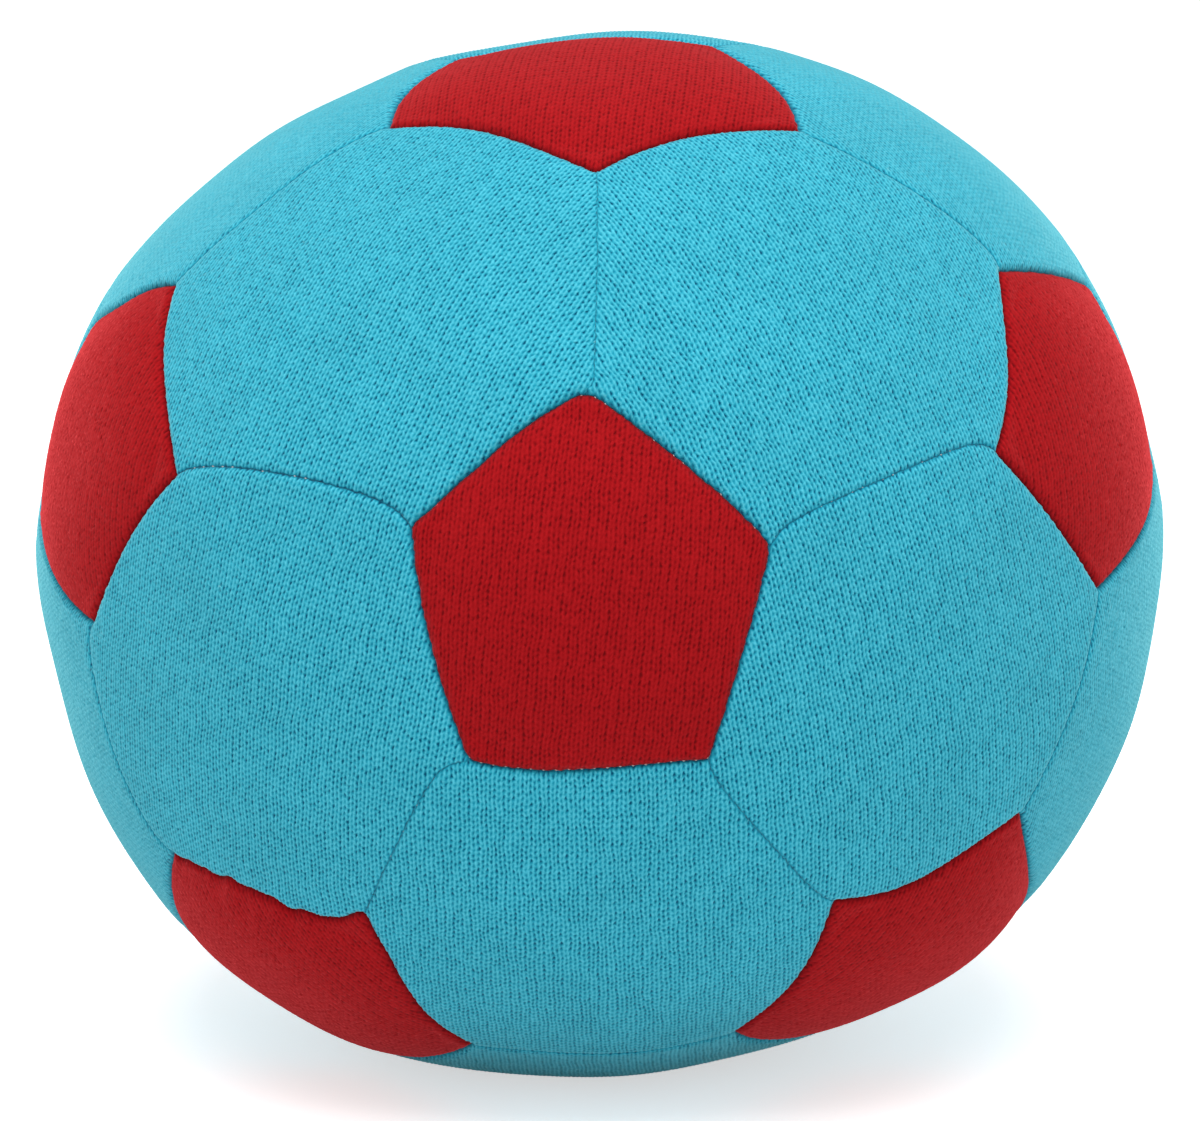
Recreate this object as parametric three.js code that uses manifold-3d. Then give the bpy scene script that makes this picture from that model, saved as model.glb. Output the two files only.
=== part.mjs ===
// A stuffed ball of knitted fabric: twelve red pentagons and twenty turquoise hexagons, sewn edge to
// edge with their seam allowances turned in, round a filling of loose fibre.
// Millimetres, +Z up. The front pentagon faces -Y, and the origin is on the floor under the ball's centre.
import * as THREE from "three";
import { mergeVertices } from "three/addons/utils/BufferGeometryUtils.js";
import Module from "manifold-3d";

// The ball as it stands
const BALL_WIDTH = 200; // across its seams
const BALL_HEIGHT = 184; // its short diameter, before the foot is flattened
const SQUASH_LEAN = 9.2; // degrees that the short diameter leans to the left at its top, seen from the front
const FOOT_SAG = 4; // how far the ball's own weight flattens its underside
const FOOT_BLEND = 0.8; // how gently the round underside turns into the foot
const FOOT_TRIM = 0.5; // depth of the flat cut that the ball rests on
const FULLNESS = 2.13; // 2 makes the profile an ellipse, and more makes its shoulders fuller

// How the front pentagon is turned, in degrees: up, to the left, and counter-clockwise as seen from the front
const FRONT_PITCH = 5.7;
const FRONT_YAW = 0.9;
const FRONT_ROLL = 1.5;

// Knitted panels
const PENTAGON_EDGE = 38;
const KNIT_THICKNESS = 1.6;
const PENTAGON_CROWN = 2; // how far the filling swells a pentagon's middle out of the round form
const HEXAGON_DRAW = 0.6; // how far a hexagon, which is wider and flatter, is drawn into it
const CROWN_POWER = 2.4; // 2 makes the crown a parabola, and more makes it flatter in the middle
const FOLD_BEVEL = 1.4; // outer edge of the fold where a panel turns in
const SEAM_ALLOWANCE = 6;
const SEAM_GAP = 0.3; // between the two allowances of a seam
const PANEL_FACETS = 3; // facets along one edge of a panel

// Seam corners as sewn by hand, in millimetres along the skin to the right and up, as seen from outside.
// Each corner is named by its pentagon and by the pentagon that it points to.
const SEWN_SHIFTS = {
  "front>top": [-0.5, 4],
  "front>upper_right": [-2, -1],
  "front>lower_right": [-0.5, -2],
  "front>lower_left": [-1, -1],
  "front>upper_left": [2, 4],
  "top>front": [1, 3.5],
  "top>upper_right": [3, -3],
  "top>rear_upper_left": [-2.5, -4],
  "top>rear_upper_right": [-1.5, -3.5],
  "top>upper_left": [-5, 2.5],
  "upper_right>front": [-0.5, 0],
  "upper_right>top": [0.5, -1.5],
  "upper_right>lower_right": [-2, -0.5],
  "upper_right>rear_upper_right": [-0.5, 1],
  "upper_right>rear_lower_right": [2, 2],
  "lower_right>front": [-3.5, 1],
  "lower_right>upper_right": [-4.5, 3],
  "lower_right>lower_left": [0.5, -1.5],
  "lower_left>front": [4, 1.5],
  "lower_left>lower_right": [0.5, -1.5],
  "lower_left>upper_left": [0, -1],
  "upper_left>front": [-1, 0.5],
  "upper_left>top": [-4.5, 0.5],
  "upper_left>rear_upper_left": [2.5, 1.5],
  "upper_left>lower_left": [1.5, -0.5],
};

// Sewing thread, and the seam that is closed last, by hand, after the ball is filled
const THREAD_DIAMETER = 0.4;
const THREAD_CLEARANCE = 0.3;
const THREAD_SIDES = 5;
const CLOSING_PENTAGON = "lower_left";
const CLOSING_ENDS = ["front", "upper_left"];
const CLOSING_SWING = 0.4; // how far the closing stitches cross to either side of the seam
const CLOSING_STITCHES = 7;
const STEPS_PER_STITCH = 4;
const PATH_NUDGE = 1e-4; // share of a path that its direction is measured over

// Fibre filling
const FILL_CLEARANCE = 0.3;

const RED_KNIT = { color: 0x9a1117, roughness: 0.95, metalness: 0 };
const TURQUOISE_KNIT = { color: 0x3db2cb, roughness: 0.95, metalness: 0 };
const SEWING_THREAD = { color: 0xcbb99c, roughness: 0.8, metalness: 0 };
const FIBRE_FILL = { color: 0xefece4, roughness: 1, metalness: 0 };

// Sizes that follow from those above
const HALF_HEIGHT = BALL_HEIGHT / 2;
const CENTRE_HEIGHT = HALF_HEIGHT - FOOT_SAG;
const SEAM_RADIUS = BALL_WIDTH / 2;
const FLANGE_OUTSIDE = SEAM_GAP / 2;
const FLANGE_INSIDE = FLANGE_OUTSIDE + KNIT_THICKNESS;
const FLANGE_DEPTH = FOLD_BEVEL + SEAM_ALLOWANCE;
const GROOVE_DEPTH = FOLD_BEVEL + FLANGE_OUTSIDE;
const THREAD_RADIUS = THREAD_DIAMETER / 2;
const THREAD_DEPTH = GROOVE_DEPTH - Math.SQRT2 * (THREAD_RADIUS + THREAD_CLEARANCE);

const wasm = await Module();
wasm.setup();

const FRONT = new THREE.Vector3(0, -1, 0);
const RIGHT = new THREE.Vector3(1, 0, 0);
const UP = new THREE.Vector3(0, 0, 1);
const LEAN = new THREE.Quaternion().setFromAxisAngle(FRONT, THREE.MathUtils.degToRad(SQUASH_LEAN));
const UPRIGHT = LEAN.clone().invert();

// The smaller of two lengths, with the change from one to the other rounded off
function softMin(a, b) {
  const least = Math.min(a, b);
  return least - FOOT_BLEND * Math.log(1 + Math.exp((least - Math.max(a, b)) / FOOT_BLEND));
}

// The point of the sewn skin in a direction from the ball's centre: rise is how far the panel there stands
// out of the round form through the seams, and depth is measured inwards from that surface.
function place(direction, rise, depth) {
  const seam = direction.clone().applyQuaternion(UPRIGHT);
  const across = Math.hypot(seam.x, seam.y);
  const full = (across ** FULLNESS + Math.abs(seam.z) ** FULLNESS) ** (-1 / FULLNESS);
  seam.multiply(new THREE.Vector3(SEAM_RADIUS, SEAM_RADIUS, HALF_HEIGHT)).multiplyScalar(full);
  seam.applyQuaternion(LEAN);
  const round = seam.length() + rise;
  const outwards = seam.normalize();
  const floor = outwards.z < 0 ? (CENTRE_HEIGHT + FOOT_TRIM) / -outwards.z : Infinity;
  return outwards.multiplyScalar(softMin(round, floor) - depth);
}

// The share of the crown at a place between a panel's middle, 0, and its seam, 1
function swellAt(share) {
  return 1 - share ** CROWN_POWER;
}

// The directions of the twelve pentagons
const RING = ["top", "upper_right", "lower_right", "lower_left", "upper_left"];
const OPPOSITE = {
  front: "back",
  top: "bottom",
  upper_right: "rear_lower_left",
  lower_right: "rear_upper_left",
  lower_left: "rear_upper_right",
  upper_left: "rear_lower_right",
};
const NEIGHBOUR_COSINE = 1 / Math.sqrt(5);

function pentagonDirections() {
  const turn = new THREE.Quaternion().setFromAxisAngle(UP, -THREE.MathUtils.degToRad(FRONT_YAW));
  turn.multiply(new THREE.Quaternion().setFromAxisAngle(RIGHT, -THREE.MathUtils.degToRad(FRONT_PITCH)));
  turn.multiply(new THREE.Quaternion().setFromAxisAngle(FRONT, THREE.MathUtils.degToRad(FRONT_ROLL)));
  const directions = { front: FRONT.clone() };
  const tilt = Math.acos(NEIGHBOUR_COSINE);
  RING.forEach((name, index) => {
    const clock = (index * 2 * Math.PI) / RING.length;
    const ringwards = RIGHT.clone().multiplyScalar(Math.sin(clock)).addScaledVector(UP, Math.cos(clock));
    const forward = FRONT.clone().multiplyScalar(Math.cos(tilt));
    directions[name] = forward.addScaledVector(ringwards, Math.sin(tilt));
  });
  for (const [name, opposite] of Object.entries(OPPOSITE)) {
    directions[name].applyQuaternion(turn);
    directions[opposite] = directions[name].clone().negate();
  }
  return directions;
}

const PENTAGONS = pentagonDirections();

// The five pentagons round one pentagon, counter-clockwise as seen from outside
function neighbours(name) {
  const axis = PENTAGONS[name];
  const near = Object.keys(PENTAGONS).filter((other) => {
    const cosine = axis.dot(PENTAGONS[other]);
    return cosine > NEIGHBOUR_COSINE / 2 && other !== name;
  });
  const start = PENTAGONS[near[0]].clone().projectOnPlane(axis);
  const side = axis.clone().cross(start);
  const angle = (other) => Math.atan2(PENTAGONS[other].dot(side), PENTAGONS[other].dot(start));
  return near.sort((a, b) => angle(a) - angle(b));
}

// How far along the line from one pentagon's centre to the next its seam corner lies
function cornerShare() {
  const span = Math.sqrt(2 - 2 * NEIGHBOUR_COSINE);
  const edge = (PENTAGON_EDGE / (SEAM_RADIUS * span)) ** 2;
  const bend = edge * (1 - NEIGHBOUR_COSINE);
  return (Math.sqrt(bend * bend + (1 - 2 * bend) * edge) - bend) / (1 - 2 * bend);
}

const CORNER_SHARE = cornerShare();

// The direction of the seam corner of one pentagon that points to another
function corner(pentagon, other) {
  const direction = PENTAGONS[pentagon].clone().lerp(PENTAGONS[other], CORNER_SHARE).normalize();
  const [right, up] = SEWN_SHIFTS[`${pentagon}>${other}`] ?? [0, 0];
  const rightwards = UP.clone().cross(direction).normalize();
  const upwards = direction.clone().cross(rightwards);
  direction.addScaledVector(rightwards, right / SEAM_RADIUS).addScaledVector(upwards, up / SEAM_RADIUS);
  return direction.normalize();
}

// Panels as a middle and seam corners, counter-clockwise as seen from outside
function pentagonPanel(name) {
  const corners = neighbours(name).map((other) => corner(name, other));
  const middle = PENTAGONS[name];
  return { name: `pentagon_${name}`, middle, corners, crown: PENTAGON_CROWN, look: RED_KNIT };
}

function hexagonPanel(name, trio) {
  const [a, b, c] = trio.map((pentagon) => PENTAGONS[pentagon]);
  const [first, second, third] = a.clone().cross(b).dot(c) > 0 ? trio : [trio[0], trio[2], trio[1]];
  const corners = [
    corner(first, second),
    corner(second, first),
    corner(second, third),
    corner(third, second),
    corner(third, first),
    corner(first, third),
  ];
  const middle = a.clone().add(b).add(c).normalize();
  return { name: `hexagon_${name}`, middle, corners, crown: -HEXAGON_DRAW, look: TURQUOISE_KNIT };
}

// Two rings of five hexagons round the front pentagon, and the opposite two round the back one
const CLOCK = ["upper_right", "right", "bottom", "left", "upper_left"];
const OPPOSITE_CLOCK = ["lower_left", "left", "top", "right", "lower_right"];

function opposite(pentagon) {
  const front = Object.keys(OPPOSITE).find((name) => OPPOSITE[name] === pentagon);
  return OPPOSITE[pentagon] ?? front;
}

function hexagonPanels() {
  return CLOCK.flatMap((clock, index) => {
    const near = RING[index];
    const next = RING[(index + 1) % RING.length];
    const far = opposite(RING[(index + 3) % RING.length]);
    const inner = ["front", near, next];
    const outer = [near, next, far];
    return [
      hexagonPanel(`front_${clock}`, inner),
      hexagonPanel(`side_${clock}`, outer),
      hexagonPanel(`rear_side_${OPPOSITE_CLOCK[index]}`, outer.map(opposite)),
      hexagonPanel(`back_${OPPOSITE_CLOCK[index]}`, inner.map(opposite)),
    ];
  });
}

// Vertices and triangles of one surface, gathered ring by ring
class Skin {
  points = [];
  triangles = [];

  ring(points) {
    return points.map((point) => this.points.push(point) - 1);
  }

  // Triangles between a ring with one more facet a side and the ring inside it
  web(outer, inner, sides, outwards) {
    const facets = outer.length / sides;
    for (let side = 0; side < sides; side++) {
      for (let step = 0; step < facets; step++) {
        const a = outer[side * facets + step];
        const b = outer[(side * facets + step + 1) % outer.length];
        const c = inner[(side * (facets - 1) + step) % inner.length];
        const d = inner[(side * (facets - 1) + step + 1) % inner.length];
        this.triangle(a, b, c, outwards);
        if (step < facets - 1) this.triangle(b, d, c, outwards);
      }
    }
  }

  // Triangles between two rings with the same number of points, the second further from the panel's middle
  strip(ring, next) {
    ring.forEach((a, index) => {
      const following = (index + 1) % ring.length;
      this.triangle(ring[following], a, next[index], true);
      this.triangle(ring[following], next[index], next[following], true);
    });
  }

  triangle(a, b, c, outwards) {
    this.triangles.push(a, outwards ? b : c, outwards ? c : b);
  }

  geometry() {
    const geometry = new THREE.BufferGeometry();
    const numbers = this.points.flatMap((point) => point.toArray());
    geometry.setAttribute("position", new THREE.Float32BufferAttribute(numbers, 3));
    geometry.setIndex(this.triangles);
    return mergeVertices(geometry);
  }
}

// The directions of a panel's rings, from its middle outwards to its seam
function panelRings({ middle, corners }) {
  const rings = [[middle]];
  for (let ring = 1; ring <= PANEL_FACETS; ring++) {
    rings.push(
      corners.flatMap((start, side) => {
        const end = corners[(side + 1) % corners.length];
        return Array.from({ length: ring }, (_, step) => {
          const edge = start.clone().lerp(end, step / ring);
          return middle.clone().lerp(edge, ring / PANEL_FACETS).normalize();
        });
      }),
    );
  }
  return rings;
}

// For each point of the seam ring, the way into the panel, square to the seam's plane and mitred at corners
function inwardWays({ corners }) {
  const seams = corners.map((direction) => place(direction, 0, 0));
  const normals = seams.map((start, side) => {
    return start.clone().cross(seams[(side + 1) % seams.length]).normalize();
  });
  return normals.flatMap((normal, side) => {
    const before = normals[(side + normals.length - 1) % normals.length];
    const mitre = before.clone().add(normal).divideScalar(1 + before.dot(normal));
    return Array.from({ length: PANEL_FACETS }, (_, step) => (step === 0 ? mitre : normal));
  });
}

// A ring of points along a panel's seam, at a distance from the seam's plane and a depth
function seamRing(directions, inwards, distance, depth) {
  return directions.map((direction, index) => {
    return place(direction, 0, depth).addScaledVector(inwards[index], distance);
  });
}

// The rings of a panel's surface at a depth, the last one held off the seam's plane
function layer(skin, panel, distance, depth) {
  const directions = panelRings(panel);
  const seam = seamRing(directions.at(-1), inwardWays(panel), distance, depth);
  const inside = directions.slice(0, -1).map((ring, index) => {
    const rise = panel.crown * swellAt(index / PANEL_FACETS);
    return ring.map((direction) => place(direction, rise, depth));
  });
  return [...inside, seam].map((points) => skin.ring(points));
}

function webLayer(skin, rings, sides, outwards) {
  for (let ring = 1; ring < rings.length; ring++) {
    skin.web(rings[ring], rings[ring - 1], sides, outwards);
  }
}

// A panel: its crowned outside, the bevelled fold, the allowance turned in along the seam, and its inside
function panelGeometry(panel) {
  const skin = new Skin();
  const sides = panel.corners.length;
  const directions = panelRings(panel).at(-1);
  const inwards = inwardWays(panel);
  const outside = layer(skin, panel, FLANGE_OUTSIDE + FOLD_BEVEL, 0);
  const fold = skin.ring(seamRing(directions, inwards, FLANGE_OUTSIDE, FOLD_BEVEL));
  const tip = skin.ring(seamRing(directions, inwards, FLANGE_OUTSIDE, FLANGE_DEPTH));
  const innerTip = skin.ring(seamRing(directions, inwards, FLANGE_INSIDE, FLANGE_DEPTH));
  const inside = layer(skin, panel, FLANGE_INSIDE, KNIT_THICKNESS);
  webLayer(skin, outside, sides, true);
  skin.strip(outside.at(-1), fold);
  skin.strip(fold, tip);
  skin.strip(tip, innerTip);
  skin.strip(innerTip, inside.at(-1));
  webLayer(skin, inside, sides, false);
  return skin.geometry();
}

// The filling: it swells up under every panel and is grooved along every seam for the two allowances
function fillingGeometry(panels) {
  const skin = new Skin();
  const distance = FLANGE_INSIDE + FILL_CLEARANCE;
  const depth = FLANGE_DEPTH + FILL_CLEARANCE;
  for (const panel of panels) {
    const directions = panelRings(panel).at(-1);
    const inwards = inwardWays(panel);
    const surface = layer(skin, panel, distance, KNIT_THICKNESS + FILL_CLEARANCE);
    const groove = skin.ring(seamRing(directions, inwards, distance, depth));
    const seam = skin.ring(seamRing(directions, inwards, 0, depth));
    webLayer(skin, surface, panel.corners.length, true);
    skin.strip(surface.at(-1), groove);
    skin.strip(groove, seam);
  }
  return skin.geometry();
}

// A run along the seams from corner to corner, at a depth below the skin. Every leg has its own even steps,
// so that a tube along it turns exactly at the corners. The swing carries it from side to side of a seam.
class SeamPath extends THREE.Curve {
  constructor(stops, depth, swing, stitches) {
    super();
    const legs = stops.length - 1;
    const closed = stops[0] === stops[legs];
    const across = place(stops[0], 0, 0).cross(place(stops[1], 0, 0)).normalize();
    Object.assign(this, { stops, depth, swing, stitches, legs, closed, across });
  }

  getPoint(share) {
    const leg = Math.min(Math.floor(share * this.legs), this.legs - 1);
    const along = share * this.legs - leg;
    const direction = this.stops[leg].clone().lerp(this.stops[leg + 1], along).normalize();
    const sideways = this.swing * Math.sin(2 * Math.PI * this.stitches * share);
    return place(direction, 0, this.depth).addScaledVector(this.across, sideways);
  }

  getPointAt(share) {
    return this.getPoint(share);
  }

  getTangentAt(share) {
    const [before, after] = [share - PATH_NUDGE, share + PATH_NUDGE].map((near) => {
      return this.closed ? (near + 1) % 1 : THREE.MathUtils.clamp(near, 0, 1);
    });
    return this.getPoint(after).sub(this.getPoint(before)).normalize();
  }
}

function threadGeometry(path, steps) {
  const section = Array.from({ length: THREAD_SIDES }, (_, side) => {
    const angle = (side * 2 * Math.PI) / THREAD_SIDES;
    return new THREE.Vector2(THREAD_RADIUS * Math.cos(angle), THREAD_RADIUS * Math.sin(angle));
  });
  const tube = path.closed
    ? new THREE.TubeGeometry(path, steps, THREAD_RADIUS, THREAD_SIDES, true)
    : new THREE.ExtrudeGeometry(new THREE.Shape(section), { steps, extrudePath: path });
  tube.deleteAttribute("normal");
  tube.deleteAttribute("uv");
  return mergeVertices(tube);
}

// The place on a seam that is short of its far corner by the thread there
function shortOf(from, to) {
  const length = place(from, 0, 0).distanceTo(place(to, 0, 0));
  return to.clone().lerp(from, (THREAD_DIAMETER + THREAD_CLEARANCE) / length).normalize();
}

// The thread round one pentagon's edge, left open where the ball is closed by hand
function rimThread(name) {
  const near = neighbours(name);
  const opening = near.findIndex((start, index) => {
    const ends = [start, near[(index + 1) % near.length]];
    return name === CLOSING_PENTAGON && ends.every((end) => CLOSING_ENDS.includes(end));
  });
  const stops = near.map((_, step) => corner(name, near[(opening + 1 + step) % near.length]));
  if (opening < 0) stops.push(stops[0]);
  return threadGeometry(new SeamPath(stops, THREAD_DEPTH, 0, 0), (stops.length - 1) * PANEL_FACETS);
}

// The thread of one pentagon: round its edge, and down the hexagon seams to the pentagons below it
function pentagonThread(name) {
  const below = neighbours(name).filter((other) => PENTAGONS[other].z < PENTAGONS[name].z);
  const spokes = below.map((other) => {
    const from = corner(name, other);
    const stops = [from, shortOf(from, corner(other, name))];
    return threadGeometry(new SeamPath(stops, THREAD_DEPTH, 0, 0), PANEL_FACETS);
  });
  return joined([rimThread(name), ...spokes]);
}

// The hand-sewn stitches of the closing seam, which cross from panel to panel in its groove
function closingThread() {
  const [from, to] = CLOSING_ENDS.map((end) => corner(CLOSING_PENTAGON, end));
  const stops = [shortOf(to, from), shortOf(from, to)];
  const path = new SeamPath(stops, THREAD_DEPTH - CLOSING_SWING, CLOSING_SWING, CLOSING_STITCHES);
  return threadGeometry(path, CLOSING_STITCHES * STEPS_PER_STITCH);
}

function solid(geometry) {
  const vertProperties = new Float32Array(geometry.attributes.position.array);
  const triVerts = new Uint32Array(geometry.index.array);
  return new wasm.Manifold(new wasm.Mesh({ numProp: 3, vertProperties, triVerts }));
}

function geometryOf(body) {
  const { vertProperties, triVerts } = body.getMesh();
  const geometry = new THREE.BufferGeometry();
  geometry.setAttribute("position", new THREE.BufferAttribute(vertProperties, 3));
  geometry.setIndex(new THREE.BufferAttribute(triVerts, 1));
  return geometry;
}

function joined(geometries) {
  return geometryOf(geometries.map(solid).reduce((whole, body) => whole.add(body)));
}

// What lies below the floor is cut off, so that the panels underneath end in one flat foot
const belowFloor = new THREE.BoxGeometry(BALL_WIDTH, BALL_WIDTH, BALL_HEIGHT);
belowFloor.translate(0, 0, -CENTRE_HEIGHT - BALL_HEIGHT / 2);
belowFloor.deleteAttribute("normal");
belowFloor.deleteAttribute("uv");
const FLOOR = solid(mergeVertices(belowFloor));

function cutAtFloor(geometry) {
  geometry.computeBoundingBox();
  if (geometry.boundingBox.min.z >= -CENTRE_HEIGHT) return geometry;
  return geometryOf(solid(geometry).subtract(FLOOR));
}

const ball = new THREE.Group();
ball.position.z = CENTRE_HEIGHT;

function addPiece(name, geometry, look) {
  geometry.computeVertexNormals();
  const mesh = new THREE.Mesh(geometry, new THREE.MeshStandardMaterial(look));
  mesh.name = name;
  ball.add(mesh);
}

const panels = [...Object.keys(PENTAGONS).map(pentagonPanel), ...hexagonPanels()];
for (const panel of panels) {
  addPiece(panel.name, cutAtFloor(panelGeometry(panel)), panel.look);
}
addPiece("fibre_filling", fillingGeometry(panels), FIBRE_FILL);
for (const name of Object.keys(PENTAGONS)) {
  addPiece(`seam_thread_${name}`, pentagonThread(name), SEWING_THREAD);
}
addPiece("closing_thread", closingThread(), SEWING_THREAD);

const part = new THREE.Group();
part.add(ball);
export default part;
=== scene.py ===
import math

import bpy
import numpy as np
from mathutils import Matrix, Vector


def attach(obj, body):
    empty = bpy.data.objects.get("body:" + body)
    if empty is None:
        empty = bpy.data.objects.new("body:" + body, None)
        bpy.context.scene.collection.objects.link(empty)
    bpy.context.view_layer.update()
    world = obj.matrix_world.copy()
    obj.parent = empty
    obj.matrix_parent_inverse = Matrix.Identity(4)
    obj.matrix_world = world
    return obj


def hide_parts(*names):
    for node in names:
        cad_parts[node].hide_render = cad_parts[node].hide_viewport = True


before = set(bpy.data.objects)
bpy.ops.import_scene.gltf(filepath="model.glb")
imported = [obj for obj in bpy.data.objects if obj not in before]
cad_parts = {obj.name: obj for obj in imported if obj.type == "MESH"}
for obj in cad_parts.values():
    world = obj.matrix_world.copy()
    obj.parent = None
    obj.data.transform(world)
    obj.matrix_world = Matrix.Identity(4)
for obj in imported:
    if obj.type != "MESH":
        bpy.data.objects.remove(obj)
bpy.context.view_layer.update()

# Lengths are in metres and angles in degrees, unless a comment says otherwise
MM = 0.001

# The ball, with the same sewn skin as the CAD part: squashed, leaning to one side and flat at its foot
BALL_WIDTH = 200 * MM
BALL_HEIGHT = 184 * MM
SQUASH_LEAN = 9.2
FOOT_SAG = 4 * MM
FOOT_BLEND = 0.8 * MM
FOOT_TRIM = 0.5 * MM
FULLNESS = 2.13
FRONT_PITCH = 5.7
FRONT_YAW = 0.9
FRONT_ROLL = 1.5

# How far a pentagon swells out of the round form and a hexagon is drawn into it, how that grows from the
# seams, the gap between the CAD part's panels, and the slow swells of the hand-filled skin
PENTAGON_CROWN = 2 * MM
HEXAGON_DRAW = 0.6 * MM
CROWN_POWER = 2.4
CROWN_BLEND = 6 * MM
SOLID_GAP = 0.3 * MM
UNDULATION = 0.3 * MM
SWELL_COUNT = 14
SWELL_RATE = 9.0

# How far a pentagon's edges bow out, and how far they sway out and then in, in millimetres, as read on the
# photograph. An edge is named by its pentagon and the two pentagons that its corners point to.
EDGE_BENDS = {
    ("front", "top", "upper_left"): (0.8, 0.2),
    ("front", "upper_left", "lower_left"): (0.9, 0.0),
    ("front", "lower_left", "lower_right"): (1.0, 0.5),
    ("front", "upper_right", "top"): (0.5, 0.0),
    ("top", "upper_left", "front"): (-1.7, -0.5),
    ("top", "front", "upper_right"): (-2.4, -0.3),
    ("top", "upper_right", "rear_upper_right"): (2.0, 0.5),
    ("top", "rear_upper_left", "upper_left"): (2.1, -0.2),
    ("upper_right", "top", "front"): (-0.8, 0.6),
    ("upper_right", "lower_right", "rear_lower_right"): (1.2, 0.0),
    ("lower_right", "upper_right", "front"): (-2.3, 0.7),
    ("lower_right", "front", "lower_left"): (-1.9, 0.0),
    ("lower_right", "lower_left", "bottom"): (1.5, 1.0),
    ("lower_right", "rear_lower_right", "upper_right"): (-0.5, 0.2),
    ("lower_left", "front", "upper_left"): (-0.9, -1.1),
    ("lower_left", "lower_right", "front"): (-1.0, -0.6),
    ("lower_left", "bottom", "lower_right"): (1.6, -0.2),
    ("lower_left", "upper_left", "rear_lower_left"): (0.4, 0.2),
    ("upper_left", "front", "top"): (-1.1, 0.4),
    ("upper_left", "top", "rear_upper_left"): (-0.5, 0.9),
    ("upper_left", "rear_lower_left", "lower_left"): (0.6, -0.6),
    ("upper_left", "lower_left", "front"): (-1.0, 0.1),
}

# The spokes: seams between two hexagons, each named by the two pentagons that it joins. A spoke runs beside
# its two corners and turns into them at its ends. The values are how far it aims to the right of its first
# and of its second corner, on the way along it, and how far it bows, in millimetres.
SPOKE_BENDS = {
    ("front", "top"): (1.2, 0.3, 0.3),
    ("front", "upper_right"): (-2.6, -3.6, -0.4),
    ("front", "lower_right"): (1.4, 1.4, 0.0),
    ("front", "lower_left"): (4.0, 0.0, 0.2),
    ("front", "upper_left"): (3.0, 2.0, 1.8),
    ("top", "upper_right"): (1.2, -2.4, -0.4),
    ("top", "upper_left"): (1.2, -0.3, 0.0),
    ("upper_left", "lower_left"): (3.0, 3.5, 1.0),
}
SPOKE_TURN = 2.5 * MM
SHARP_TURN = 0.5 * MM
SHARP_SPOKES = [("front", "top")]

# The seam that is closed last, by hand, after filling: the fabric puckers at its wide stitches. The values
# are the heights of the waves that it runs in, and their counts.
CLOSING_SEAM = ("lower_left", "front", "upper_left")
CLOSING_PUCKERS = ((-0.75 * MM, 1.5), (0.28 * MM, 5), (0.22 * MM, 8))

# How much the corners of the pentagons are rounded
PENTAGON_ROUNDING = 0.2 * MM
CORNER_ROUNDINGS = {
    ("front", "top"): 1.1 * MM,
    ("front", "upper_left"): 0.4 * MM,
    ("front", "upper_right"): 0.9 * MM,
    ("front", "lower_left"): 0.5 * MM,
    ("upper_left", "rear_upper_left"): 2.5 * MM,
}
ROUNDING_REACH = 12 * MM

# The knit: one wale is a column of stitches and one course a row of them. Between the legs of a stitch
# and between two wales lie holes. Their depths are random shares of the relief, and a hole grows shallower
# along the wale, as its profile says. The yarn is uneven, and the wales wander. The margins are those of a
# panel's grid of places and of its texture map.
WALE = 1.46 * MM
COURSE = 1.167 * MM
COLUMNS_PER_WALE = 4
ROWS_PER_COURSE = 4
LEG_RISE = 0.5
RELIEFS = {"red_knit": 0.24 * MM, "turquoise_knit": 0.36 * MM}
LEG_HOLES = {"red_knit": (0.4, 0.82), "turquoise_knit": (0.5, 0.85)}
WALE_HOLES = {"red_knit": (0.55, 1.0), "turquoise_knit": (0.6, 1.0)}
HOLE_PROFILES = {"red_knit": (1.0, 0.75, 0.5), "turquoise_knit": (1.0, 0.68, 0.38)}
STRAND_SPREADS = {"red_knit": 0.22, "turquoise_knit": 0.16}
MEAN_YARN = 0.7
UNEVENNESS = 0.05 * MM
WANDER = 0.13 * MM
WANDER_WAVE = 13 * MM
WANDER_COUNT = 6
GRID_MARGIN = 3 * MM
FLAT_MARGIN = 1.03

# The lean of a pentagon's wales from upright, to the right as they go up
WALE_LEANS = {"front": 4.0, "lower_left": -20.0, "lower_right": 15.0}

# The seams: how deep and how wide the panels fold in at a pentagon's edge and between two hexagons, and how
# strongly the seams between hexagons are drawn in
EDGE_FOLD = (0.9 * MM, 1.6 * MM)
SPOKE_FOLD = (0.5 * MM, 1.5 * MM)
FOLD_POWER = 2.2
SPOKE_STRENGTH = 0.65
SPOKE_STRENGTHS = {
    ("front", "top"): 0.35,
    ("front", "upper_left"): 1.0,
    ("front", "upper_right"): 0.8,
}

# The narrow gap between two panels, the painted shade that darkens the yarn's colour along it, as yarn
# heights and how far it reaches from a pentagon's edge and between hexagons, the ripples of its sides and
# the hem turned in
SEAM_GAP = 0.03 * MM
PAINTED_SEAM_YARN = (0.15, 0.45)
EDGE_SHADE = 0.5 * MM
SPOKE_SHADE = 0.35 * MM
SEAM_JITTER = 0.1 * MM
JITTER_WAVE = 1.6 * MM
JITTER_COUNT = 6
HEM_DEPTH = 3.6 * MM
RELIEF_FADE = 0.35 * MM

# The search for a seam: how far from it distances are measured, the step of the slopes and their least
# square, the rounds in which points move onto it, and how far and how finely it is looked for beside the
# straight line between its corners
NEAR_SEAM = 10 * MM
SLOPE_STEP = 0.05 * MM
LEAST_SQUARED_SLOPE = 0.2
TRIM_ROUNDS = 3
SEARCH_REACH = 6 * MM
SEARCH_PLACES = 121

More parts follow.
